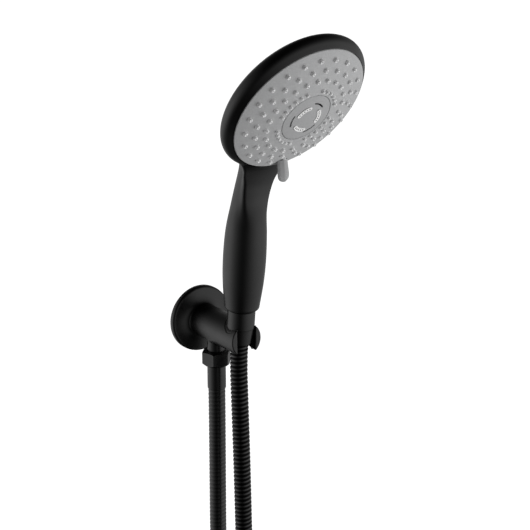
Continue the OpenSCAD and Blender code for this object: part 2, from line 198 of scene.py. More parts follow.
black = grain(material("satin_black", NEAR_BLACK, 0.34), 0.25, 0.003, tint_vary=0.2)
black_fit = grain(material("satin_black_fittings", NEAR_BLACK, 0.32), 0.2, 0.003, tint_vary=0.2)
hose_black = grain(material("hose_black", NEAR_BLACK, 0.32), 0.4, 0.004, patch=25.0, tint_vary=0.2)
# The hose reflects less down in its grooves: painted shade.
paint_groove_shade(hose_black)
liner_black = grain(material("liner_black", (0.004, 0.004, 0.004), 0.5), 0.3, 0.005, tint_vary=0.2)
face_grey = grain(material("face_grey", (0.46, 0.463, 0.467), 0.42), 0.5, 0.012, tint_vary=0.1, tint_size=0.9)
disc_grey = grain(material("disc_grey", (0.42, 0.423, 0.427), 0.38), 0.5, 0.01, tint_vary=0.09, tint_size=0.9)
lever_grey = grain(material("lever_grey", (0.37, 0.373, 0.377), 0.3), 0.4, 0.006, tint_vary=0.04)
nozzle_grey = grain(material("nozzle_rubber", (0.93, 0.932, 0.935), 0.45), 0.3, 0.006, tint_vary=0.04)
white_soft = grain(material("white_rubber", (0.95, 0.95, 0.945), 0.5), 0.3, 0.006, tint_vary=0.03)
# Painted shade: a near-black colour that stands for the inside of holes.
painted_hole_shade = grain(material("painted_hole_shade", (0.01, 0.01, 0.01), 0.7), 0.5, 0.01, tint_vary=0.2)
pale = grain(material("pale_plastic", (0.72, 0.72, 0.68), 0.4), 0.5, 0.008, tint_vary=0.03, tint_size=6.0)
limiter_blue = material("limiter_blue", (0.05, 0.16, 0.3), 0.45)
limiter_blue = grain(limiter_blue, 0.5, 0.008, tint_vary=0.05, tint_size=4.0)
rubber = grain(material("black_rubber", (0.02, 0.02, 0.02), 0.65), 0.35, 0.01, tint_vary=0.15)
strap_mat = grain(material("strap_rubber", (0.012, 0.012, 0.012), 0.6), 0.35, 0.012, tint_vary=0.15)
brass = material("brass", (0.58, 0.4, 0.16), 0.28, metallic=1.0)
brass = grain(brass, 0.6, 0.004, tint_vary=0.06, **METAL_GRAIN)
steel = material("steel", (0.5, 0.5, 0.5), 0.3, metallic=1.0)
steel = grain(steel, 0.5, 0.003, tint_vary=0.05, **METAL_GRAIN)

SLOT_LOOK = {
    "body": black,
    "fittings": black_fit,
    "hose": hose_black,
    "liner": liner_black,
    "face": face_grey,
    "nozzles": nozzle_grey,
    "pale_plastic": pale,
    "limiter": limiter_blue,
    "strap": strap_mat,
    "rubber": rubber,
    "brass": brass,
    "steel": steel,
}
NODE_SLOT = {s["node"]: s["material_slot"] for s in frame["record"]["subparts"]}
NODE_BODY = {n: b for b, ns in frame["record"]["behaviour"]["bodies"].items() for n in ns}

for name, node in NODES.items():
    node.data.materials.clear()
    node.data.materials.append(SLOT_LOOK[NODE_SLOT[name]])
NODES["inlet_insert"].data.materials[0] = black_fit    # the brass is plated black where its edge shows

# ------------------------------ mesh tools


def new_object(name, verts, faces, mats, matrix=None, smooth=None):
    """verts in millimetres in the frame that matrix gives."""
    me = bpy.data.meshes.new(name)
    me.from_pydata([tuple(v) for v in verts], [], [tuple(f) for f in faces])
    me.transform(Matrix.Scale(MM, 4))
    if matrix is not None:
        me.transform(matrix)
    for m in mats if isinstance(mats, (list, tuple)) else [mats]:
        me.materials.append(m)
    me.validate()
    me.update()
    o = bpy.data.objects.new(name, me)
    bpy.context.scene.collection.objects.link(o)
    if smooth is not None:
        shade(o, smooth)
    return o


def shade(o, degrees):
    """Smooth shading, with edges sharper than that angle left sharp."""
    me = o.data
    me.shade_smooth()
    if degrees < 180:
        me.set_sharp_from_angle(angle=math.radians(degrees))


def place(o, node):
    """o stands for a CAD node and rides on its body."""
    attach(o, NODE_BODY[node])
    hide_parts(node)


def arc(cx, cy, r, a0, a1, n):
    """n + 1 points of a circle's arc in (r, z), from a0 to a1 in degrees."""
    turns = [math.radians(a0 + (a1 - a0) * i / n) for i in range(n + 1)]
    return [(cx + r * math.cos(a), cy + r * math.sin(a)) for a in turns]


NEARLY_STRAIGHT = math.radians(176)    # corners wider than this stay as they are


def fillet(points, radii, n):
    """The closed outline with its corners rounded in n steps; radii is one radius, or one for each corner."""
    out = []
    count = len(points)
    for i, p in enumerate(points):
        r = radii[i] if isinstance(radii, (list, tuple)) else radii
        a, b = np.array(points[i - 1], float), np.array(points[(i + 1) % count], float)
        p = np.array(p, float)
        u, v = a - p, b - p
        lu, lv = np.linalg.norm(u), np.linalg.norm(v)
        if r <= 0 or lu < 1e-9 or lv < 1e-9:
            out.append(tuple(p))
            continue
        u, v = u / lu, v / lv
        half = math.acos(max(-1, min(1, float(u @ v)))) / 2
        if half > NEARLY_STRAIGHT / 2:
            out.append(tuple(p))
            continue
        d = min(r / math.tan(half), 0.49 * lu, 0.49 * lv)
        r = d * math.tan(half)
        c = p + (u + v) / np.linalg.norm(u + v) * (r / math.sin(half))
        s, e = p + u * d - c, p + v * d - c
        a0, a1 = math.atan2(s[1], s[0]), math.atan2(e[1], e[0])
        while a1 - a0 > math.pi:
            a1 -= 2 * math.pi
        while a1 - a0 < -math.pi:
            a1 += 2 * math.pi
        turns = [a0 + (a1 - a0) * k / n for k in range(n + 1)]
        out += [(c[0] + r * math.cos(a), c[1] + r * math.sin(a)) for a in turns]
    return out


def revolve_mesh(profile, n=128, closed=True):
    """(verts, faces) of a profile of (r, z) turned about Z. Points with r = 0 become one vertex."""
    verts, rows = [], []
    for r, z in profile:
        if r < 1e-6:
            rows.append([len(verts)] * n)
            verts.append((0, 0, z))
        else:
            rows.append(list(range(len(verts), len(verts) + n)))
            turns = [2 * math.pi * i / n for i in range(n)]
            verts += [(r * math.cos(a), r * math.sin(a), z) for a in turns]
    faces = []
    last = len(profile) if closed else len(profile) - 1
    for k in range(last):
        a, b = rows[k], rows[(k + 1) % len(profile)]
        for i in range(n):
            j = (i + 1) % n
            f = [a[i], a[j], b[j], b[i]]
            f = [v for q, v in enumerate(f) if v not in f[:q]]
            if len(f) > 2:
                faces.append(f)
    return verts, faces


def revolve(name, profile, mats, matrix, n=128, smooth=35, closed=True):
    v, f = revolve_mesh(profile, n, closed)
    o = new_object(name, v, f, mats, matrix, smooth)
    outward(o)
    return o


def outward(o):
    """Turns the object's faces to point out of it."""
    b = bmesh.new()
    b.from_mesh(o.data)
    bmesh.ops.recalc_face_normals(b, faces=b.faces)
    b.to_mesh(o.data)
    b.free()


def cut(o, cutter):
    """Cuts the cutter out of o and removes it."""
    mod = o.modifiers.new("cut", "BOOLEAN")
    mod.operation = "DIFFERENCE"
    mod.object = cutter
    mod.solver = "MANIFOLD"
    dg = bpy.context.evaluated_depsgraph_get()
    made = bpy.data.meshes.new_from_object(o.evaluated_get(dg))
    o.modifiers.clear()
    old = o.data
    o.data = made
    bpy.data.meshes.remove(old)
    gone = cutter.data
    bpy.data.objects.remove(cutter)
    bpy.data.meshes.remove(gone)


def cylinder(r, z0, z1, matrix, n=96):
    """A cutter: a cylinder about the frame's Z axis."""
    v, f = revolve_mesh([(0, z0), (r, z0), (r, z1), (0, z1)], n, closed=False)
    o = new_object("cutter", v, f, black, matrix)
    outward(o)
    return o


def block(lo, hi, matrix):
    """A cutter: a box between two corners."""
    v = [(x, y, z) for x in (lo[0], hi[0]) for y in (lo[1], hi[1]) for z in (lo[2], hi[2])]
    f = [(0, 1, 3, 2), (4, 6, 7, 5), (0, 4, 5, 1), (2, 3, 7, 6), (0, 2, 6, 4), (1, 5, 7, 3)]
    o = new_object("cutter", v, f, black, matrix)
    outward(o)
    return o


def joined(name, parts, mats, matrix, smooth):
    """One object from several (verts, faces, material index) lists."""
    verts, faces, index = [], [], []
    for v, f, m in parts:
        base = len(verts)
        verts += list(v)
        faces += [tuple(base + q for q in face) for face in f]
        index += [m] * len(f)
    me = bpy.data.meshes.new(name)
    me.from_pydata([tuple(v) for v in verts], [], faces)
    me.polygons.foreach_set("material_index", index)
    me.transform(Matrix.Scale(MM, 4))
    me.transform(matrix)
    for m in mats:
        me.materials.append(m)
    me.update()
    o = bpy.data.objects.new(name, me)
    bpy.context.scene.collection.objects.link(o)
    shade(o, smooth)
    return o


def field_mesh(values, origin, step, level=0.0):
    """(verts, quads) of a distance field's surface, in the grid's own millimetres."""
    g = openvdb.FloatGrid(1e3)
    g.copyFromArray(values.astype(np.float32))
    pts, quads = g.convertToQuads(level)
    return pts * step + np.array(origin), quads[:, ::-1]


def smooth_min(a, b, k):
    """The lower of two distances, with a fillet about k wide where they meet."""
    h = np.clip(0.5 + 0.5 * (b - a) / k, 0, 1)
    return b + (a - b) * h - k * h * (1 - h)


def smooth_max(a, b, k):
    return -smooth_min(-a, -b, k)


# ------------------------------ camera

FOCAL, SENSOR = 78.18, 36
CAMERA_AT = (-0.5252, -0.8458, 0.3387)
AZIMUTH, ELEVATION = math.radians(-35.3), math.radians(16.24)

cam = bpy.data.objects.new("camera", bpy.data.cameras.new("camera"))
bpy.context.scene.collection.objects.link(cam)
cam.data.sensor_width = SENSOR
cam.data.lens = FOCAL
cam.data.clip_start = 0.05
cam.data.clip_end = 50
cam.location = CAMERA_AT
front = Vector((math.sin(AZIMUTH), -math.cos(AZIMUTH), 0))    # level, from the object towards the camera
right = Vector((math.cos(AZIMUTH), math.sin(AZIMUTH), 0))
back = front * math.cos(ELEVATION) + Vector((0, 0, math.sin(ELEVATION)))
cam.rotation_mode = "QUATERNION"
cam.rotation_quaternion = Matrix((right, back.cross(right), back)).transposed().to_quaternion()
bpy.context.scene.camera = cam

# ------------------------------ hose

HOSE_R = 7.75
PITCH = 3.95
PATH_STEP = 0.5
DRAFT_STEP = 0.25    # spacing of the curve's points before they are spaced evenly
ARC_STEP = 3.0    # spacing of the points that guide the hose round a bend
HOSE_SIDES = 32
RIB_AT_HANDSET, RIB_AT_OUTLET = 1.0, 0.36    # depth of the ribs at the two ends
RIB_CHANGE = (350.0, 1150.0)    # lengths along the hose between which its ribs grow shallower
GROOVE_SHAPE = 2.6    # the higher, the narrower the grooves
# How the painted shade narrows towards the groove bottoms; the higher, the narrower.
GROOVE_PAINTED_SHADE_POWER = 1.2


def along(p):
    """The length from the first point to each of the points."""
    return np.concatenate([[0], np.cumsum(np.linalg.norm(np.diff(p, axis=0), axis=1))])


def spline(points):
    """Evenly spaced points along a smooth curve through the given ones."""
    p = np.array(points, float)
    d = np.linalg.norm(np.diff(p, axis=0), axis=1) ** 0.5
    t = np.concatenate([[0], np.cumsum(d)])
    p = np.vstack([2 * p[0] - p[1], p, 2 * p[-1] - p[-2]])
    t = np.concatenate([[t[0] - (t[1] - t[0])], t, [t[-1] + (t[-1] - t[-2])]])
    out = []
    for i in range(1, len(p) - 2):
        n = max(2, int(np.linalg.norm(p[i + 1] - p[i]) / DRAFT_STEP))
        u = np.linspace(t[i], t[i + 1], n, endpoint=i == len(p) - 3)[:, None]
        a1 = between_knots(u, t[i - 1], t[i], p[i - 1], p[i])
        a2 = between_knots(u, t[i], t[i + 1], p[i], p[i + 1])
        a3 = between_knots(u, t[i + 1], t[i + 2], p[i + 1], p[i + 2])
        b1 = between_knots(u, t[i - 1], t[i + 1], a1, a2)
        b2 = between_knots(u, t[i], t[i + 2], a2, a3)
        out.append(between_knots(u, t[i], t[i + 1], b1, b2))
    p = np.vstack(out)
    s = along(p)
    q = np.linspace(0, s[-1], int(round(s[-1] / PATH_STEP)) + 1)
    return np.stack([np.interp(q, s, p[:, i]) for i in range(3)], 1)


def between_knots(u, t0, t1, p0, p1):
    """The point at u on the way from p0 at t0 to p1 at t1."""
    return (t1 - u) / (t1 - t0) * p0 + (u - t0) / (t1 - t0) * p1


def hose_mesh(name, p, start=0.0):
    """A corrugated tube along the points p. Its ridge winds round it."""
    sides = HOSE_SIDES
    s = start + along(p)
    t = np.gradient(p, axis=0)
    t /= np.linalg.norm(t, axis=1)[:, None]
    u = np.zeros_like(p)
    u[0] = np.cross(t[0], (0, 1, 0)) if abs(t[0][1]) < 0.9 else np.cross(t[0], (1, 0, 0))
    u[0] /= np.linalg.norm(u[0])
    for i in range(1, len(p)):
        w = u[i - 1] - t[i] * (u[i - 1] @ t[i])
        u[i] = w / np.linalg.norm(w)
    v = np.cross(t, u)
    a = np.linspace(0, 2 * np.pi, sides, endpoint=False)
    wave = 0.5 + 0.5 * np.cos(2 * np.pi * (s[:, None] / PITCH - a[None, :] / (2 * np.pi)))
    w = np.clip((s - RIB_CHANGE[0]) / (RIB_CHANGE[1] - RIB_CHANGE[0]), 0, 1)[:, None]
    depth = RIB_AT_HANDSET + (RIB_AT_OUTLET - RIB_AT_HANDSET) * w
    r = HOSE_R - depth * wave ** GROOVE_SHAPE
    outwards = np.cos(a)[None, :, None] * u[:, None, :] + np.sin(a)[None, :, None] * v[:, None, :]
    co = (p[:, None, :] + r[..., None] * outwards).reshape(-1, 3)
    n = len(p)
    i = np.arange(n - 1)[:, None] * sides
    j = np.arange(sides)[None, :]
    k = (j + 1) % sides
    faces = np.stack([i + j, i + k, i + sides + k, i + sides + j], -1).reshape(-1, 4)
    caps = [tuple(range(sides))[::-1], tuple(range((n - 1) * sides, n * sides))]
    o = new_object(name, co, [*map(tuple, faces.tolist()), *caps], hose_black, smooth=180)
    # Painted shade: how deep in a groove each point lies, which dims the hose's reflection there.
    painted_groove_shade = o.data.attributes.new("painted_groove_shade", "FLOAT", "POINT")
    painted_shade_depth = wave ** GROOVE_PAINTED_SHADE_POWER * depth / RIB_AT_HANDSET
    painted_groove_shade.data.foreach_set("value", painted_shade_depth.ravel().astype(np.float32))
    return o


def half_turn(centre, r, a0, a1, y0, y1):
    """Points of an arc in the x-z plane, y going from y0 to y1."""
    n = max(4, int(abs(math.radians(a1 - a0)) * r / ARC_STEP))
    out = []
    for i in range(n + 1):
        a = math.radians(a0 + (a1 - a0) * i / n)
        w = i / n
        w = w * w * (3 - 2 * w)
        out.append((centre[0] + r * math.cos(a), y0 + (y1 - y0) * w, centre[1] + r * math.sin(a)))
    return out


hank_lo, hank_hi = [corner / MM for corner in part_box("hose_hank")]
FOLD_R = (hank_hi.x - hank_lo.x) / 2 - HOSE_R
RUN = (hank_hi.z - hank_lo.z) - 2 * (FOLD_R + HOSE_R)
TOP = hank_hi.z - FOLD_R - HOSE_R
BOTTOM = TOP - RUN
FRONT, REAR = hank_lo.y + HOSE_R, hank_hi.y - HOSE_R
CRADLE_FOOT, NUT_FOOT = -4.6, -59.3    # where the hose leaves the cradle and the fitting below the outlet
STILL_BELOW = 7    # a point of the upper stretch; it is looked up below but put to no use

# The points that the two stretches pass.
exit_upper = (CRADLE @ Vector((0, 0, CRADLE_FOOT * MM))) / MM
upper_points = [
    tuple(exit_upper), (0, -64.9, -16), (0, -64.5, -32), (0, -65.2, -50), (0, -66.6, -80), (0, -67.8, -105),
    (0, -69, -135), (0, -70.2, -170), (0, -71, -205), (-1, -71, -232), (-7, -70, -251), (-20, -66.5, -270),
    (-35, -61.5, -288), (-43, -58.8, -304), (-FOLD_R, FRONT, TOP),
]
exit_lower = Vector((outlet_at.x, outlet_at.y, 0)) / MM
lower_points = [
    (0, exit_lower.y, NUT_FOOT), (0, -28.5, -90), (0, -28.3, -125), (0, -28, -165), (0, -28, -205),
    (1, -28.2, -232), (7, -29.6, -251), (20, -33.2, -270), (35, -38.4, -288), (43, -41.2, -304),
    (FOLD_R, REAR, TOP),
]
upper_path = spline(upper_points)
upper_length = float(along(upper_path)[-1])


def straight(x, y, z, rise):
    """Points of a straight stretch of the fold, both of its ends left out."""
    return [(x, y, z + i * rise / FOLD_POINTS) for i in range(1, FOLD_POINTS)]


FOLD_POINTS = 20
folded = straight(-FOLD_R, FRONT, TOP, -RUN)
folded += half_turn((0, BOTTOM), FOLD_R, 180, 360, FRONT, FRONT)
folded += straight(FOLD_R, FRONT, BOTTOM, RUN)
folded += half_turn((0, TOP), FOLD_R, 0, 180, FRONT, REAR)
folded += straight(-FOLD_R, REAR, TOP, -RUN)
folded += half_turn((0, BOTTOM), FOLD_R, 180, 360, REAR, REAR)
folded += straight(FOLD_R, REAR, BOTTOM, RUN)
lower_path = spline([(-FOLD_R, FRONT, TOP)] + folded + lower_points[::-1])

upper_hose = hose_mesh("hose_from_handset", upper_path)
lower_hose = hose_mesh("hose_to_outlet", lower_path, start=upper_length)
tuple(Vector(upper_points[STILL_BELOW]) * MM)
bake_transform(upper_hose)
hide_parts("upper_strand")
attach(lower_hose, "wall_bracket")
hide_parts("lower_strand", "hose_hank")

# ------------------------------ handset: shell

HEAD_R, FACE_R, RIM_Z, HEAD_DEPTH, DOME_H = 65.0, 59.0, -8.6, 28.0, 10.5
DOME_R = (FACE_R ** 2 + DOME_H ** 2) / (2 * DOME_H)
FACE_GAP, FACE_SEAT = 0.35, -7    # gap round the spray face, and how deep it sits
BEND_START, BEND_R = 90.0, 209.0
FOOT = 28.0
SOCKET_R, SOCKET_TOP = 10.65, 32    # the bore for the inlet insert in the handle's foot
WALL_T = 2.5
END_AT, END_FADE = 186.0, 12.0    # where the handle ends inside the head

to_head = HEAD.inverted() @ HANDSET
TO_HEAD = np.array(to_head.to_3x3())
TO_HEAD_AT = np.array(to_head.translation) / MM


def polygon_distance(px, py, poly):
    """Signed distance of points to a closed outline, negative inside."""
    d = np.full(px.shape, 1e9)
    inside = np.zeros(px.shape, bool)
    for i in range(len(poly)):
        ax, ay = poly[i - 1]
        bx, by = poly[i]
        ex, ey = bx - ax, by - ay
        wx, wy = px - ax, py - ay
        t = np.clip((wx * ex + wy * ey) / max(ex * ex + ey * ey, 1e-12), 0, 1)
        d = np.minimum(d, (wx - t * ex) ** 2 + (wy - t * ey) ** 2)
        if ay != by:
            crosses = ((ay > py) != (by > py)) & (px < ex * (py - ay) / ey + ax)
            inside ^= crosses
    d = np.sqrt(d)
    return np.where(inside, -d, d)


class Turned:
    """Distance to a body of revolution, from a table of its outline."""

    STEP = 0.25

    def __init__(self, outline, r1, z0, z1):
        both_sides = outline + [(-r, z) for r, z in outline[::-1]]
        r = np.arange(0, r1 + self.STEP, self.STEP)
        z = np.arange(z0, z1 + self.STEP, self.STEP)
        rr, zz = np.meshgrid(r, z, indexing="ij")
        self.z0 = z0
        self.table = polygon_distance(rr, zz, both_sides)

    def __call__(self, r, z):
        t = self.table
        fr = np.clip(r / self.STEP, 0, t.shape[0] - 1.001)
        fz = np.clip((z - self.z0) / self.STEP, 0, t.shape[1] - 1.001)
        i, j = fr.astype(int), fz.astype(int)
        u, v = fr - i, fz - j
        low = t[i, j] * (1 - u) + t[i + 1, j] * u
        high = t[i, j + 1] * (1 - u) + t[i + 1, j + 1] * u
        return low * (1 - v) + high * v


LIP_SLOPE, LIP_ROUND, LIP_IN = 42, 7.12, -2.5
BOWL_STEPS = 40
lip = [(FACE_R - 1, LIP_IN), (FACE_R - 1, -0.2), (FACE_R + FACE_GAP, -0.3)]
lip += arc(HEAD_R - LIP_ROUND, RIM_Z, LIP_ROUND, 90 - LIP_SLOPE, 0, 12)
bowl_turns = [math.radians(90 * i / BOWL_STEPS) for i in range(1, BOWL_STEPS + 1)]
bowl = [(HEAD_R * math.cos(a), RIM_Z - (HEAD_DEPTH + RIM_Z) * math.sin(a)) for a in bowl_turns]
head_body = Turned([(0, LIP_IN)] + lip + bowl, 100, -60, 60)

# The handle's section is an oval. Each row gives the distance along the handle and its two half widths.
GRIP = [(20, 14.6, 14.6), (28, 14.9, 14.9), (36, 15.9, 15.9), (50, 17.45, 17.45), (62, 18.2, 18.2),
        (76, 18.4, 18.4), (90, 18.0, 18.0), (104, 17.2, 16.9), (118, 15.9, 15.1), (132, 15.1, 13.7),
        (150, 14.8, 12.6), (172, 15.0, 12.0), (205, 15.0, 11.4)]
TABLE_POINTS = 800
SOFTEN_REACH, SOFTEN_WIDTH = 60, 22.0    # in points of the table


def smooth_table(rows, column):
    """The column against the rows' first one, drawn with many points and softened."""
    s = np.linspace(rows[0][0], rows[-1][0], TABLE_POINTS)
    y = np.interp(s, [r[0] for r in rows], [r[column] for r in rows])
    k = np.exp(-0.5 * (np.arange(-SOFTEN_REACH, SOFTEN_REACH + 1) / SOFTEN_WIDTH) ** 2)
    k /= k.sum()
    pad = np.concatenate([np.full(SOFTEN_REACH, y[0]), y, np.full(SOFTEN_REACH, y[-1])])
    return s, np.convolve(pad, k, "valid")


GRIP_S, GRIP_X = smooth_table(GRIP, 1)
GRIP_Y = smooth_table(GRIP, 2)[1]

# The neck's section: a crowned front between two edges that spread towards the head, and a round back.
# Each row gives the distance along the handle, the edges' x and depth, the crown, the side's x and the
# back's depth.
NECK = [(104, 11.8, 11.0, 5.0, 16.9, 16.9), (117, 12.4, 9.6, 3.8, 15.5, 15.9),
        (131, 14.1, 7.3, 2.6, 14.6, 15.4), (144, 17.4, 6.1, 2.2, 14.6, 15.0),
        (156, 22.0, 5.6, 2.6, 16.0, 14.4), (168, 23.0, 6.0, 3.0, 16.5, 12.6),
        (182, 18.0, 6.0, 3.0, 15.0, 9.0), (200, 14.0, 6.0, 3.0, 12.0, 5.0)]
NECK_FROM, NECK_TO = 98.0, 128.0
NECK_S = smooth_table(NECK, 1)[0]
NECK_CURVES = [smooth_table(NECK, column)[1] for column in range(1, 6)]
NECK_EDGE_AT, NECK_EDGE_R = (131, 148), (2.4, 5.5)    # how round its front edges are, and where


def oval_distance(x, v, a, b):
    """Signed distance to an oval, near enough and without a flaw at its middle."""
    k = np.hypot(x / a, v / b)
    return (k - 1) / np.maximum(np.hypot(x / a ** 2, v / b ** 2) / (k + 1e-9), 1 / np.maximum(a, b))


def neck_distance(x, v, s):
    """Signed distance to the neck, v being the depth behind its middle line."""
    edge_x, edge_v, crown, side, rear = (np.interp(s, NECK_S, curve) for curve in NECK_CURVES)
    back = oval_distance(x, v, side, rear)
    spread = np.clip(-v / edge_v, 0, 1.6)
    flank = (np.abs(x) - side - (edge_x - side) * spread ** 1.5) * 0.94
    bow = crown / edge_x ** 2
    face = (-v - edge_v - crown + bow * x * x) / np.sqrt(1 + (2 * bow * x) ** 2)
    return smooth_max(np.where(v > 0, back, flank), face, np.interp(s, NECK_EDGE_AT, NECK_EDGE_R))


def handle_distance(x, y, z):
    """Signed distance to the handle, in the handset's millimetres."""
    rho = np.hypot(y + BEND_R, z - BEND_START)
    phi = np.arctan2(z - BEND_START, y + BEND_R)
    bent = z > BEND_START
    s = np.where(bent, BEND_START + BEND_R * phi, z)
    v = np.where(bent, rho - BEND_R, y)
    a, b = np.interp(s, GRIP_S, GRIP_X), np.interp(s, GRIP_S, GRIP_Y)
    oval = oval_distance(x, v, a, b)
    u = np.clip((s - NECK_FROM) / (NECK_TO - NECK_FROM), 0, 1)
    u = u * u * (3 - 2 * u)
    return oval * (1 - u) + neck_distance(x, v, s) * u, s


def shell_field(p):
    """Signed distance to the handset's outside; p is (..., 3) in the handset's millimetres."""
    h = p @ TO_HEAD.T + TO_HEAD_AT
    head = head_body(np.hypot(h[..., 0], h[..., 1]), h[..., 2])
    grip, s = handle_distance(p[..., 0], p[..., 1], p[..., 2])
    grip = smooth_max(grip, FOOT - p[..., 2], 2.4)
    grip = smooth_max(grip, s - END_AT, END_FADE)
    behind = -h[..., 2]
    k = 1.2 + 15.0 * np.clip((behind - 2.0) / 9.0, 0, 1) + 6.0 * np.clip((behind - 12.0) / 16.0, 0, 1)
    return smooth_min(head, grip, k)


def grid_field(fn, lo, hi, step):
    """The field's values on a grid."""
    axes = [np.arange(lo[i], hi[i] + step, step, dtype=np.float64) for i in range(3)]
    out = np.empty([len(a) for a in axes], np.float32)
    yy, zz = np.meshgrid(axes[1], axes[2], indexing="ij")
    for i, x in enumerate(axes[0]):
        out[i] = fn(np.stack([np.full_like(yy, x), yy, zz], -1))
    return out


SLOPE_STEP = 0.05    # half the length over which a field's slope is measured
LEAST_SLOPE = 0.05


def settle(fn, v, level, rounds):
    """Moves points on to the field's surface."""
    steps = SLOPE_STEP * np.eye(3)
    for _ in range(rounds):
        d = fn(v) - level
        g = np.stack([(fn(v + e) - fn(v - e)) / (2 * SLOPE_STEP) for e in steps], -1)
        v = v - g * (d / np.maximum((g * g).sum(-1), LEAST_SLOPE))[:, None]
    return v


def field_surface(fn, lo, hi, step, level=0.0, rounds=2):
    """(verts, quads) of the field's surface at that level."""
    v, q = field_mesh(grid_field(fn, lo, hi, step), lo, step, level)
    return settle(fn, v.astype(float), level, rounds), q


SHELL_LO, SHELL_HI = (-68, -88, 23), (68, 21, 278)
OUTER_STEP, INNER_STEP = 0.8, 2.0
shell_v, shell_q = field_surface(shell_field, SHELL_LO, SHELL_HI, OUTER_STEP)
inner_v, inner_q = field_surface(shell_field, SHELL_LO, SHELL_HI, INNER_STEP, level=-WALL_T, rounds=1)
inner_q = inner_q[:, ::-1] + len(shell_v)
housing = new_object("rear_housing_shell", np.vstack([shell_v, inner_v]), shell_q.tolist() + inner_q.tolist(),
                     black, HANDSET)
cut(housing, cylinder(FACE_R + FACE_GAP, FACE_SEAT, 30, HEAD, 192))
cut(housing, cylinder(SOCKET_R, 15, SOCKET_TOP, HANDSET))
shade(housing, 40)
place(housing, "rear_housing")

# ------------------------------ spray head


def dome_z(r, less=0.0):
    """Height of the domed face at radius r, or of a dome that lies so much below it."""
    return DOME_H - DOME_R + math.sqrt((DOME_R - less) ** 2 - r * r)


RINGS = [(51.4, 0.0), (43.4, 0.5), (35.1, 0.0)]    # radius, and the turn as a share of the pitch
COUNT = 22    # nozzles in each ring
ROW_R, ROW_COUNT, ROW_PITCH = 26.1, 6, 11.4    # the four short rows of small nozzles
DISC_R = 22.0
PLATE_T = 2.0
HOLE_R, SMALL_HOLE_R = 1.95, 1.5


def outer_nozzles():
    """(radius, angle) of each nozzle in the rings."""
    for r, stagger in RINGS:
        for k in range(COUNT):
            yield r, 90 + 360 * (k + stagger) / COUNT


def inner_nozzles():
    """(radius, angle) of each nozzle in the short rows."""
    for q in range(4):
        for k in range(ROW_COUNT):
            yield ROW_R, 135 + 90 * q + ROW_PITCH * (k - (ROW_COUNT - 1) / 2)


def at_polar(r, degrees, z=0.0):
    """The point at that radius, angle and height."""
    a = math.radians(degrees)
    return Vector((r * math.cos(a), r * math.sin(a), z))


def on_dome(r0, r1, n, less=0.0):
    """Points of an outline along the dome, or along one that lies so much below it."""
    return [(r, dome_z(r, less)) for r in np.linspace(r0, r1, n)]


face_profile = [(DISC_R + 0.3, dome_z(DISC_R + 0.3, PLATE_T))]
face_profile += [(DISC_R + 0.3, dome_z(DISC_R + 0.3) - 0.35), (DISC_R + 0.4, dome_z(DISC_R + 0.4) - 0.12),
                 (DISC_R + 0.65, dome_z(DISC_R + 0.65))]
face_profile += on_dome(DISC_R + 1.2, FACE_R - 1.0, 40)
face_profile += arc(FACE_R - 0.9, dome_z(FACE_R - 0.9) - 0.9, 0.9, 68, 0, 5)
face_profile += [(FACE_R, -5.4), (FACE_R - 2, -5.4), (FACE_R - 2, dome_z(FACE_R - 2, PLATE_T))]
face_profile += on_dome(FACE_R - 4, DISC_R + 1.2, 20, PLATE_T)
face = revolve("spray_face_plate", face_profile, face_grey, SPRAY, n=256, smooth=None)

holes = []
for places, hole_r, n in ((outer_nozzles(), HOLE_R, 28), (inner_nozzles(), SMALL_HOLE_R, 20)):
    for r, a in places:
        z = dome_z(r)
        v, f = revolve_mesh([(0, z - 3), (hole_r, z - 3), (hole_r, z + 2), (0, z + 2)], n, closed=False)
        c = at_polar(r, a)
        holes.append(([Vector(p) + c for p in v], f, 0))
cutter = joined("cutter", holes, [black], SPRAY, 180)
outward(cutter)
cut(face, cutter)

ON_DOME = 0.00002    # metres; points nearer to the dome than this lie on it


def dome_normals(o, matrix):
    """Gives the domed surface its true normals, so that the holes in it don't shade the rest."""
    me = o.data
    me.shade_smooth()
    me.set_sharp_from_angle(angle=math.radians(30))
    centre = matrix @ Vector((0, 0, (DOME_H - DOME_R) * MM))
    vi = np.empty(len(me.loops), np.int32)
    me.loops.foreach_get("vertex_index", vi)
    co = np.empty(len(me.vertices) * 3)
    me.vertices.foreach_get("co", co)
    co = co.reshape(-1, 3)
    normals = np.array([c.vector[:] for c in me.corner_normals])
    radial = co[vi] - np.array(centre)
    dist = np.linalg.norm(radial, axis=1)
    radial /= dist[:, None]
    on = (np.abs(dist - DOME_R * MM) < ON_DOME) & ((normals * radial).sum(1) > 0.5)
    face_n = np.empty(len(me.polygons) * 3)
    me.polygons.foreach_get("normal", face_n)
    face_n = face_n.reshape(-1, 3)
    tot = np.empty(len(me.polygons), np.int32)
    me.polygons.foreach_get("loop_total", tot)
    per = np.repeat(face_n, tot, axis=0)
    on &= (per * radial).sum(1) > 0.97
    normals[on] = radial[on]
    me.normals_split_custom_set([tuple(v) for v in normals])


dome_normals(face, SPRAY)
place(face, "spray_face")

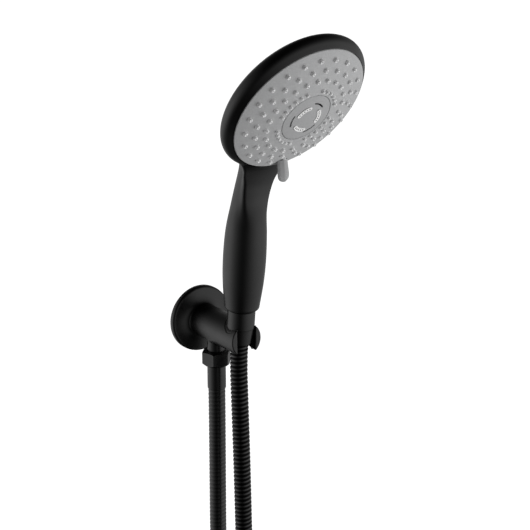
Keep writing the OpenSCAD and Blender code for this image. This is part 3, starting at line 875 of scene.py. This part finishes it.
nozzle_profile = [(0, -3.0), (2.6, -3.0), (2.6, -2.3), (1.9, -2.3), (1.9, 0.12), (1.82, 0.3), (1.6, 1.5),
                  (1.5, 1.8), (1.3, 1.98), (0.95, 2.05), (0.72, 1.95), (0.6, 1.5), (0.55, 0.5),
                  (0.55, -1.0), (0, -1.0)]
small_profile = [(0, -3.0), (1.7, -3.0), (1.7, -2.3), (1.45, -2.3), (1.45, 0.1), (1.4, 0.3), (1.26, 1.6),
                 (1.12, 1.88), (0.85, 1.98), (0.6, 1.9), (0.48, 1.5), (0.45, -1.0), (0, -1.0)]
MAT_R0, MAT_R1, MAT_TOP, MAT_BOTTOM = 22.6, 56.6, 2.05, 3.6    # its edges, and its depths below the face
v, f = revolve_mesh(on_dome(MAT_R0, MAT_R1, 30, MAT_TOP) + on_dome(MAT_R1, MAT_R0, 30, MAT_BOTTOM), 160)
parts = [(v, f, 0)]
for profile, places, n in ((nozzle_profile, outer_nozzles(), 28), (small_profile, inner_nozzles(), 20)):
    v, f = revolve_mesh(profile, n, closed=False)
    for r, a in places:
        c = at_polar(r, a, dome_z(r))
        parts.append(([Vector(p) + c for p in v], f, 0))
mat = joined("nozzle_mat_rubber", parts, [nozzle_grey], SPRAY, 50)
outward(mat)
place(mat, "nozzle_mat")

disc_profile = [(0, DOME_H)] + on_dome(1.5, DISC_R - 0.6, 22)
disc_profile += [(DISC_R - 0.3, dome_z(DISC_R - 0.3) - 0.1), (DISC_R, dome_z(DISC_R) - 0.4),
                 (DISC_R, dome_z(DISC_R, PLATE_T))]
disc_profile += on_dome(DISC_R - 1, 1.5, 10, PLATE_T) + [(0, dome_z(0, PLATE_T))]
disc = revolve("centre_disc_plate", disc_profile, [disc_grey, painted_hole_shade], SPRAY, n=192, smooth=None,
               closed=False)

BAR_STEPS, END_STEPS = 24, 8


def round_end(r_mid, half_w, at, turn):
    """Points of the half circle that ends a bar, from the angle turn on."""
    return [at_polar(r_mid, at) + at_polar(half_w, turn + 180 * k / END_STEPS) for k in range(1, END_STEPS)]


def arc_bar(r_mid, half_w, middle, span, z0, z1):
    """(verts, faces) of an arc-shaped bar with round ends, reaching span degrees either way."""
    a0, a1 = middle - span, middle + span
    turns = [a0 + (a1 - a0) * i / BAR_STEPS for i in range(BAR_STEPS + 1)]
    pts = [at_polar(r_mid + half_w, a) for a in turns] + round_end(r_mid, half_w, a1, a1)
    pts += [at_polar(r_mid - half_w, a) for a in turns[::-1]] + round_end(r_mid, half_w, a0, a0 + 180)
    m = len(pts)
    verts = [(p.x, p.y, z0) for p in pts] + [(p.x, p.y, z1) for p in pts]
    faces = [tuple(range(m))[::-1], tuple(range(m, 2 * m))]
    faces += [(i, (i + 1) % m, m + (i + 1) % m, m + i) for i in range(m)]
    return verts, faces


SLIT_R, SLIT_SPAN, SLIT_HALF_W = 14.8, 20, 0.7
BAR_R, BAR_SPAN, BAR_HALF_W, BAR_GAP, BAR_RISE = 10.9, 28, 1.7, 0.05, 0.55
# The jet holes on each bar are drawn as dark discs of painted shade: how many, their radius, how far they stand up
# and how far they spread.
JETS, JET_R, JET_RISE, JET_SPREAD = 5, 0.6, 0.69, 0.88
SLITS = [65 - SELECTOR_TURN + 120 * k for k in range(3)]
BARS = [10 - SELECTOR_TURN + 120 * k for k in range(3)]
slots = [(*arc_bar(SLIT_R, SLIT_HALF_W, a, SLIT_SPAN, 6, 14), 0) for a in SLITS]
slots += [(*arc_bar(BAR_R, BAR_HALF_W + BAR_GAP, a, BAR_SPAN, 6, 14), 0) for a in BARS]
cutter = joined("cutter", slots, [black], SPRAY, 180)
outward(cutter)
cut(disc, cutter)
dome_normals(disc, SPRAY)
bars = []
# Dark discs just proud of each bar stand for its jet holes: painted shade.
jet_v, jet_f = revolve_mesh([(0, JET_RISE), (JET_R, JET_RISE), (JET_R, 0.0), (0, 0.0)], 14, closed=False)
for a in BARS:
    v, f = arc_bar(BAR_R, BAR_HALF_W, a, BAR_SPAN, dome_z(BAR_R, PLATE_T) + 0.2, dome_z(BAR_R) + BAR_RISE)
    bars.append((v, f, 0))
    for k in range(JETS):
        c = at_polar(BAR_R, a + BAR_SPAN * JET_SPREAD * (2 * k / (JETS - 1) - 1), dome_z(BAR_R) - 0.1)
        bars.append(([Vector(p) + c for p in jet_v], jet_f, 1))
inserts = joined("centre_disc_jets", bars, [white_soft, painted_hole_shade], SPRAY, 40)
place(disc, "centre_disc")
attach(inserts, "spray_head")

# ------------------------------ bracket

TO_CRADLE = np.array(CRADLE.inverted().to_3x3())
TO_CRADLE_AT = np.array(CRADLE.inverted().translation) / MM
LINER_OUT = 0.32 + 1.2    # gap round the cone nut, and the liner's wall
ARM_R, ARM_END, ARM_EDGE_R = 15.0, -77.0, 1.1
CRADLE_Y, SLOT, SLOT_EDGE_R = -66.5, 9.5, 0.9
BOSS_R, BOSS_END = 8.2, -23.2    # the boss that the hose's nut hangs from
NIPPLE_BORE_R, NIPPLE_BORE_END = 10.55, -16.0
WATERWAY_R, WATERWAY_END = 7.2, -36.0
OUTLET_BORE_R = 5.2


def cradle_radius(z):
    """Radius of the cone nut, which the cradle fits, at height z of the cradle's frame."""
    return np.interp(z, [-22, 10, 12, 40], [9.3, 11.68, 12.1, 12.1])


def arm_field(p):
    """Distance to the bracket's arm, in world millimetres."""
    x, y, z = p[..., 0], p[..., 1], p[..., 2]
    rho = np.hypot(x, z)
    d = smooth_max(rho - ARM_R, ARM_END - y, ARM_EDGE_R)
    d = np.maximum(d, y + 3.0)
    out_r = np.hypot(x - exit_lower.x, y - exit_lower.y)
    boss = np.maximum(out_r - BOSS_R, np.maximum(BOSS_END - z, z + 5))
    d = smooth_min(d, boss, 2.2)
    c = p @ TO_CRADLE.T + TO_CRADLE_AT
    hole = np.hypot(c[..., 0], c[..., 1]) - (cradle_radius(c[..., 2]) + LINER_OUT)
    slot = smooth_max(np.abs(x) - SLOT, y - CRADLE_Y, 0.5)
    d = smooth_max(d, -smooth_min(hole, slot, 0.5), SLOT_EDGE_R)
    d = np.maximum(d, -np.maximum(rho - NIPPLE_BORE_R, NIPPLE_BORE_END - y))
    d = np.maximum(d, -np.maximum(rho - WATERWAY_R, WATERWAY_END - y))
    d = np.maximum(d, -np.maximum(out_r - OUTLET_BORE_R, z))
    return d


ARM_LO, ARM_HI, ARM_STEP = (-17, -80, -26), (17, -1, 17), 0.42
arm_v, arm_q = field_surface(arm_field, ARM_LO, ARM_HI, ARM_STEP)
arm = new_object("bracket_arm_body", arm_v, arm_q.tolist(), black, smooth=42)
place(arm, "bracket_arm")

FLANGE_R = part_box("wall_flange")[1].x / MM
RIM_H, RIM_ROUND = 3.0, 2.4
FLARE_R = FLANGE_R - RIM_ROUND    # inside this radius the flange rises towards the arm
FLARE_H, FLARE_STEPS = 4.0, 24
ARM_GAP = 0.04
SEAL_R, SEAL_DEPTH = 25.2, 1.8
flange_profile = [(ARM_R + ARM_GAP, 0.0), (FLANGE_R - 0.3, 0.0), (FLANGE_R, 0.3), (FLANGE_R, RIM_H)]
flange_profile += arc(FLARE_R, RIM_H, RIM_ROUND, 6, 84, 10)
for i in range(1, FLARE_STEPS + 1):
    turn = math.radians(90 * i / FLARE_STEPS)
    r = FLARE_R - (FLARE_R - ARM_R) * math.sin(turn) + ARM_GAP
    flange_profile.append((r, RIM_H + RIM_ROUND + FLARE_H * (1 - math.cos(turn))))
flange = revolve("wall_flange_body", flange_profile, black, WALL, n=192, smooth=35)
cut(flange, cylinder(SEAL_R, -2, SEAL_DEPTH, WALL, 128))
shade(flange, 35)
place(flange, "wall_flange")

# ------------------------------ fittings

cone_profile = [(8.3, -4.3), (9.8, -4.3), (10.65, -3.4), (11.62, 9.6), (11.75, 9.9), (11.75, 10.4),
                (12.1, 10.9), (12.1, 26.7), (11.5, 27.4), (10.55, 27.4), (10.55, 8.6), (9.3, 8.6),
                (9.3, 4.0), (8.3, 4.0)]
cone = revolve("cone_nut_body", fillet(cone_profile, 0.25, 3), black_fit, HANDSET, n=144, smooth=40)
place(cone, "cone_nut")

hex_outline = [(10.55, -23.8), (12.4, -23.8), (13.5, -24.5), (13.5, -34.4), (10.7, -36.8), (8.55, -36.8),
               (8.55, -34.6), (10.55, -34.6)]
nut = revolve("hex_nut_body", fillet(hex_outline, 0.2, 2), black_fit, OUTLET, n=144, smooth=None)
HEX_TURN, HEX_HALF_W = -14, 11.78
SOFT_EDGE, SOFTEN_FROM = 0.25, 25    # its width, and the least angle of an edge that gets one
for k in range(6):
    cut(nut, block((HEX_HALF_W, -20, -60), (30, 20, 0), turned(OUTLET, HEX_TURN + 60 * k + 30)))
shade(nut, SOFTEN_FROM)
soften = nut.modifiers.new("edges", "BEVEL")
soften.width = SOFT_EDGE * MM
soften.segments = 2
soften.limit_method = "ANGLE"
soften.angle_limit = math.radians(SOFTEN_FROM)
soften.harden_normals = True
place(nut, "hex_nut")

ferrule_profile = [(4.45, -59.5), (7.8, -59.5), (8.3, -59.0), (8.4, -58.2), (8.4, -35.0), (8.1, -34.7),
                   (4.45, -34.7)]
ferrule = revolve("lower_ferrule_body", ferrule_profile, black_fit, OUTLET, n=128, smooth=30)
place(ferrule, "lower_ferrule")
upper_profile = [(4.45, -4.65), (7.6, -4.65), (7.95, -4.2), (7.95, 3.7), (7.6, 4.0), (4.45, 4.0)]
upper_ferrule = revolve("upper_ferrule_body", upper_profile, black_fit, CRADLE, n=128, smooth=30)
place(upper_ferrule, "upper_ferrule")

# ------------------------------ check valve spring

COIL_STEPS, COIL_SIDES = 40, 12
COIL_R, COIL_WIRE, COIL_TURNS = 2.9, 0.2, 4


def coil_mesh(r, wire, height, turns):
    """(verts, faces) of a wound wire from z = 0 to height, with its ends flat against them."""
    steps, sides = COIL_STEPS, COIL_SIDES
    n = turns * steps
    verts = []
    for i in range(n + 1):
        a = 2 * math.pi * i / steps
        rise = min(1.0, max(0.0, (i / steps - 0.75) / (turns - 1.5)))
        z = wire + (height - 2 * wire) * rise
        for k in range(sides):
            b = 2 * math.pi * k / sides
            out = r + wire * math.cos(b)
            verts.append((out * math.cos(a), out * math.sin(a), z + wire * math.sin(b)))
    faces = [tuple(range(sides)), tuple(range(n * sides, (n + 1) * sides))[::-1]]
    for i in range(n):
        for k in range(sides):
            q = (k + 1) % sides
            faces.append((i * sides + k, (i + 1) * sides + k, (i + 1) * sides + q, i * sides + q))
    return verts, faces


spring_lo, spring_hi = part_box("valve_spring")
SPRING_H = (spring_hi.y - spring_lo.y) / MM
spring_at = Matrix.Translation((0, spring_hi.y, 0)) @ WALL
spring_v, spring_f = coil_mesh(COIL_R, COIL_WIRE, SPRING_H, COIL_TURNS)
spring = new_object("valve_spring_coil", spring_v, spring_f, steel, spring_at, smooth=60)
outward(spring)
place(spring, "valve_spring")
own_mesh(spring)

# ------------------------------ selector lever

LEVER_LEAN, LEVER_AT = 35, (-0.8, -52.5, 1.2)
LEVER_HALF_W, LEVER_L, LEVER_T = 5.4, 18.8, 4.2
LEVER_BODY, LEVER_TIP = 24, 16    # steps along the straight part and round the tip
# The section's corners as shares of the half width and the thickness, and how round each of them is.
LEVER_SECTION = [(-1, 0.0), (-1, 0.34), (-0.72, 0.62), (-0.1, 0.97), (0.18, 1.0), (0.4, 0.93),
                 (0.72, 0.66), (1, 0.34), (1, 0.0)]
LEVER_ROUND = [0.03, 0.16, 0.1, 0.05, 0.05, 0.05, 0.1, 0.16, 0.03]


def lever_mesh():
    """A tab with two flat bevels that meet in a ridge along it, and a round tip."""
    w, length = LEVER_HALF_W, LEVER_L
    body, tip = LEVER_BODY, LEVER_TIP
    outline = fillet(LEVER_SECTION, LEVER_ROUND, 4)
    verts, faces = [], []
    m = len(outline)
    n = body + tip
    for i in range(n + 1):
        turn = max(0.0, (i - body) / tip) * math.pi / 2
        out = (length - w) * min(1, i / body) + w * math.sin(turn)
        half = max(0.02, w * math.cos(turn)) * (0.88 + 0.12 * min(1, 1.6 * out / length))
        t = LEVER_T * (1 - 0.35 * out / length) * (0.15 + 0.85 * max(0.0, math.cos(turn)) ** 0.6)
        verts += [(half * a, -out, t * b) for a, b in outline]
    for i in range(n):
        for k in range(m):
            q = (k + 1) % m
            faces.append((i * m + k, i * m + q, (i + 1) * m + q, (i + 1) * m + k))
    faces.append(tuple(range(m)))
    faces.append(tuple(range(n * m, (n + 1) * m))[::-1])
    return verts, faces


lever_v, lever_f = lever_mesh()
LEVER = SPRAY @ Matrix.Translation(Vector(LEVER_AT) * MM) @ Matrix.Rotation(math.radians(-LEVER_LEAN), 4, "X")
lever = new_object("selector_lever_tab", lever_v, lever_f, lever_grey, LEVER, smooth=50)
outward(lever)
place(lever, "selector_lever")

# ------------------------------ pieces kept from the CAD

WELD_WITHIN = 0.000002    # metres
SHARP_FROM = math.radians(30)
for node in NODES.values():
    if node.hide_render:
        continue
    node.data.shade_smooth()
    weld = node.modifiers.new("weld", "WELD")
    weld.merge_threshold = WELD_WITHIN
    split = node.modifiers.new("split", "EDGE_SPLIT")
    split.split_angle = SHARP_FROM

# ------------------------------ lights and backdrop

AIM = Vector((0, -0.09, 0.1))
FILL_SIDE, FILL_AWAY, FILL_RADIANCE = 0.8, 0.95, 2.7    # it lights the spray face, and isn't reflected


def around(degrees, rise):
    """Direction from the object, that many degrees to the right of the camera and above the horizon."""
    a, e = math.radians(degrees), math.radians(rise)
    return (front * math.cos(a) + right * math.sin(a)) * math.cos(e) + Vector((0, 0, math.sin(e)))


lamp = bpy.data.lights.new("face_fill", "AREA")
lamp.shape = "RECTANGLE"
lamp.size = FILL_SIDE
lamp.size_y = FILL_SIDE
lamp.energy = FILL_RADIANCE * math.pi * FILL_SIDE ** 2
fill_from = around(75, -30)
fill = bpy.data.objects.new("face_fill", lamp)
bpy.context.scene.collection.objects.link(fill)
fill.location = AIM + fill_from * FILL_AWAY
fill.rotation_mode = "QUATERNION"
fill.rotation_quaternion = (-fill_from).to_track_quat("-Z", "Y")
fill.visible_glossy = False

# The studio that the object reflects: dark in front, above and below, and bright at the sides and behind.
DARK = around(-10, 0)
LEFT_SIDE = DARK.cross(Vector((0, 0, 1)))
LEFT_STOPS = [(0.0, 0.4), (0.146, 0.57), (0.345, 0.88), (0.5, 1.2), (0.629, 1.32), (0.742, 0.96),
              (0.828, 0.64), (0.9, 0.425), (0.949, 0.24), (0.983, 0.125), (1.0, 0.06)]
RIGHT_STOPS = [(0.0, 0.4), (0.146, 0.6), (0.289, 0.9), (0.42, 1.06), (0.544, 1.11), (0.655, 1.03),
               (0.75, 0.88), (0.828, 0.71), (0.894, 0.49), (0.9455, 0.295), (0.978, 0.14), (1.0, 0.06)]
HEIGHT_STOPS = [(0.0, 0.1), (0.1, 0.22), (0.22, 0.72), (0.32, 1.0), (0.47, 1.0), (0.58, 0.7),
                (0.68, 0.45), (0.78, 0.18), (0.9, 0.04), (1.0, 0.03)]
RAMP_TOP = 2.0    # a colour ramp holds levels up to 1, so the levels are stored divided by this
SIDE_BLEND = 6.0    # the higher, the sharper the change from the left side to the right

world = bpy.data.worlds.new("studio")
bpy.context.scene.world = world
world.use_nodes = True
tree = world.node_tree


def maths(operation, *values):
    """Output of a Math node on numbers or on other nodes' outputs."""
    n = tree.nodes.new("ShaderNodeMath")
    n.operation = operation
    for socket, value in zip(n.inputs, values):
        if isinstance(value, (int, float)):
            socket.default_value = value
        else:
            tree.links.new(value, socket)
    return n.outputs[0]


def dot(vector, fixed):
    """Output of the dot product of a node's vector with a fixed one."""
    n = tree.nodes.new("ShaderNodeVectorMath")
    n.operation = "DOT_PRODUCT"
    tree.links.new(vector, n.inputs[0])
    n.inputs[1].default_value = fixed
    return n.outputs["Value"]


def ramp(value, stops):
    """The level at that value, drawn through the stops."""
    n = tree.nodes.new("ShaderNodeValToRGB")
    e = n.color_ramp.elements
    for at, level in stops[1:-1]:
        e.new(at)
    for element, (at, level) in zip(e, stops):
        element.color = (*[level / RAMP_TOP] * 3, 1)
    tree.links.new(value, n.inputs[0])
    return maths("MULTIPLY", n.outputs[0], RAMP_TOP)


# The light's level from a direction goes by how far that lies from DARK, by its side and by its height.
direction = tree.nodes.new("ShaderNodeTexCoord").outputs["Generated"]
height = dot(direction, (0, 0, 1))
level_squared = maths("SUBTRACT", 1.0, maths("MULTIPLY", height, height))
spread = maths("SQRT", maths("MAXIMUM", level_squared, 0.0001))
facing = maths("DIVIDE", dot(direction, DARK), spread)
around_part = maths("MULTIPLY_ADD", facing, 0.5, 0.5)
left_share = maths("MULTIPLY", dot(direction, LEFT_SIDE), SIDE_BLEND)
left_share = maths("MINIMUM", maths("MAXIMUM", left_share, 0.0), 1.0)
left_glow = maths("MULTIPLY", ramp(around_part, LEFT_STOPS), left_share)
right_glow = maths("MULTIPLY", ramp(around_part, RIGHT_STOPS), maths("SUBTRACT", 1.0, left_share))
height_part = maths("MULTIPLY_ADD", height, 0.5, 0.5)
glow = maths("MULTIPLY", maths("ADD", left_glow, right_glow), ramp(height_part, HEIGHT_STOPS))

studio = tree.nodes["Background"]
tree.links.new(glow, studio.inputs["Strength"])
seen = tree.nodes.new("ShaderNodeBackground")
seen.inputs["Color"].default_value = (1, 1, 1, 1)
studio.inputs["Color"].default_value = (1, 1, 1, 1)
rays = tree.nodes.new("ShaderNodeLightPath")
mix = tree.nodes.new("ShaderNodeMixShader")
tree.links.new(rays.outputs["Is Camera Ray"], mix.inputs[0])
tree.links.new(studio.outputs[0], mix.inputs[1])
tree.links.new(seen.outputs[0], mix.inputs[2])
tree.links.new(mix.outputs[0], tree.nodes["World Output"].inputs["Surface"])

FLOOR_HALF, FLOOR_DROP = 30000, 0.9    # the floor's half side, and its distance below the object in metres
floor_mat = material("floor", (0.9, 0.9, 0.9), 0.9, spec=0.0)
floor_shader = floor_mat.node_tree.nodes["Principled BSDF"]
floor_shader.inputs["Emission Color"].default_value = (1, 1, 1, 1)
floor_shader.inputs["Emission Strength"].default_value = 1.0
floor_corners = [(x * FLOOR_HALF, y * FLOOR_HALF, 0) for x, y in ((-1, -1), (1, -1), (1, 1), (-1, 1))]
floor = new_object("floor", floor_corners, [(0, 1, 2, 3)], floor_mat,
                   Matrix.Translation((0, 0, size_cad[0].z - FLOOR_DROP)))
floor.visible_glossy = False
floor.visible_diffuse = False

bpy.context.scene.view_settings.view_transform = "Standard"
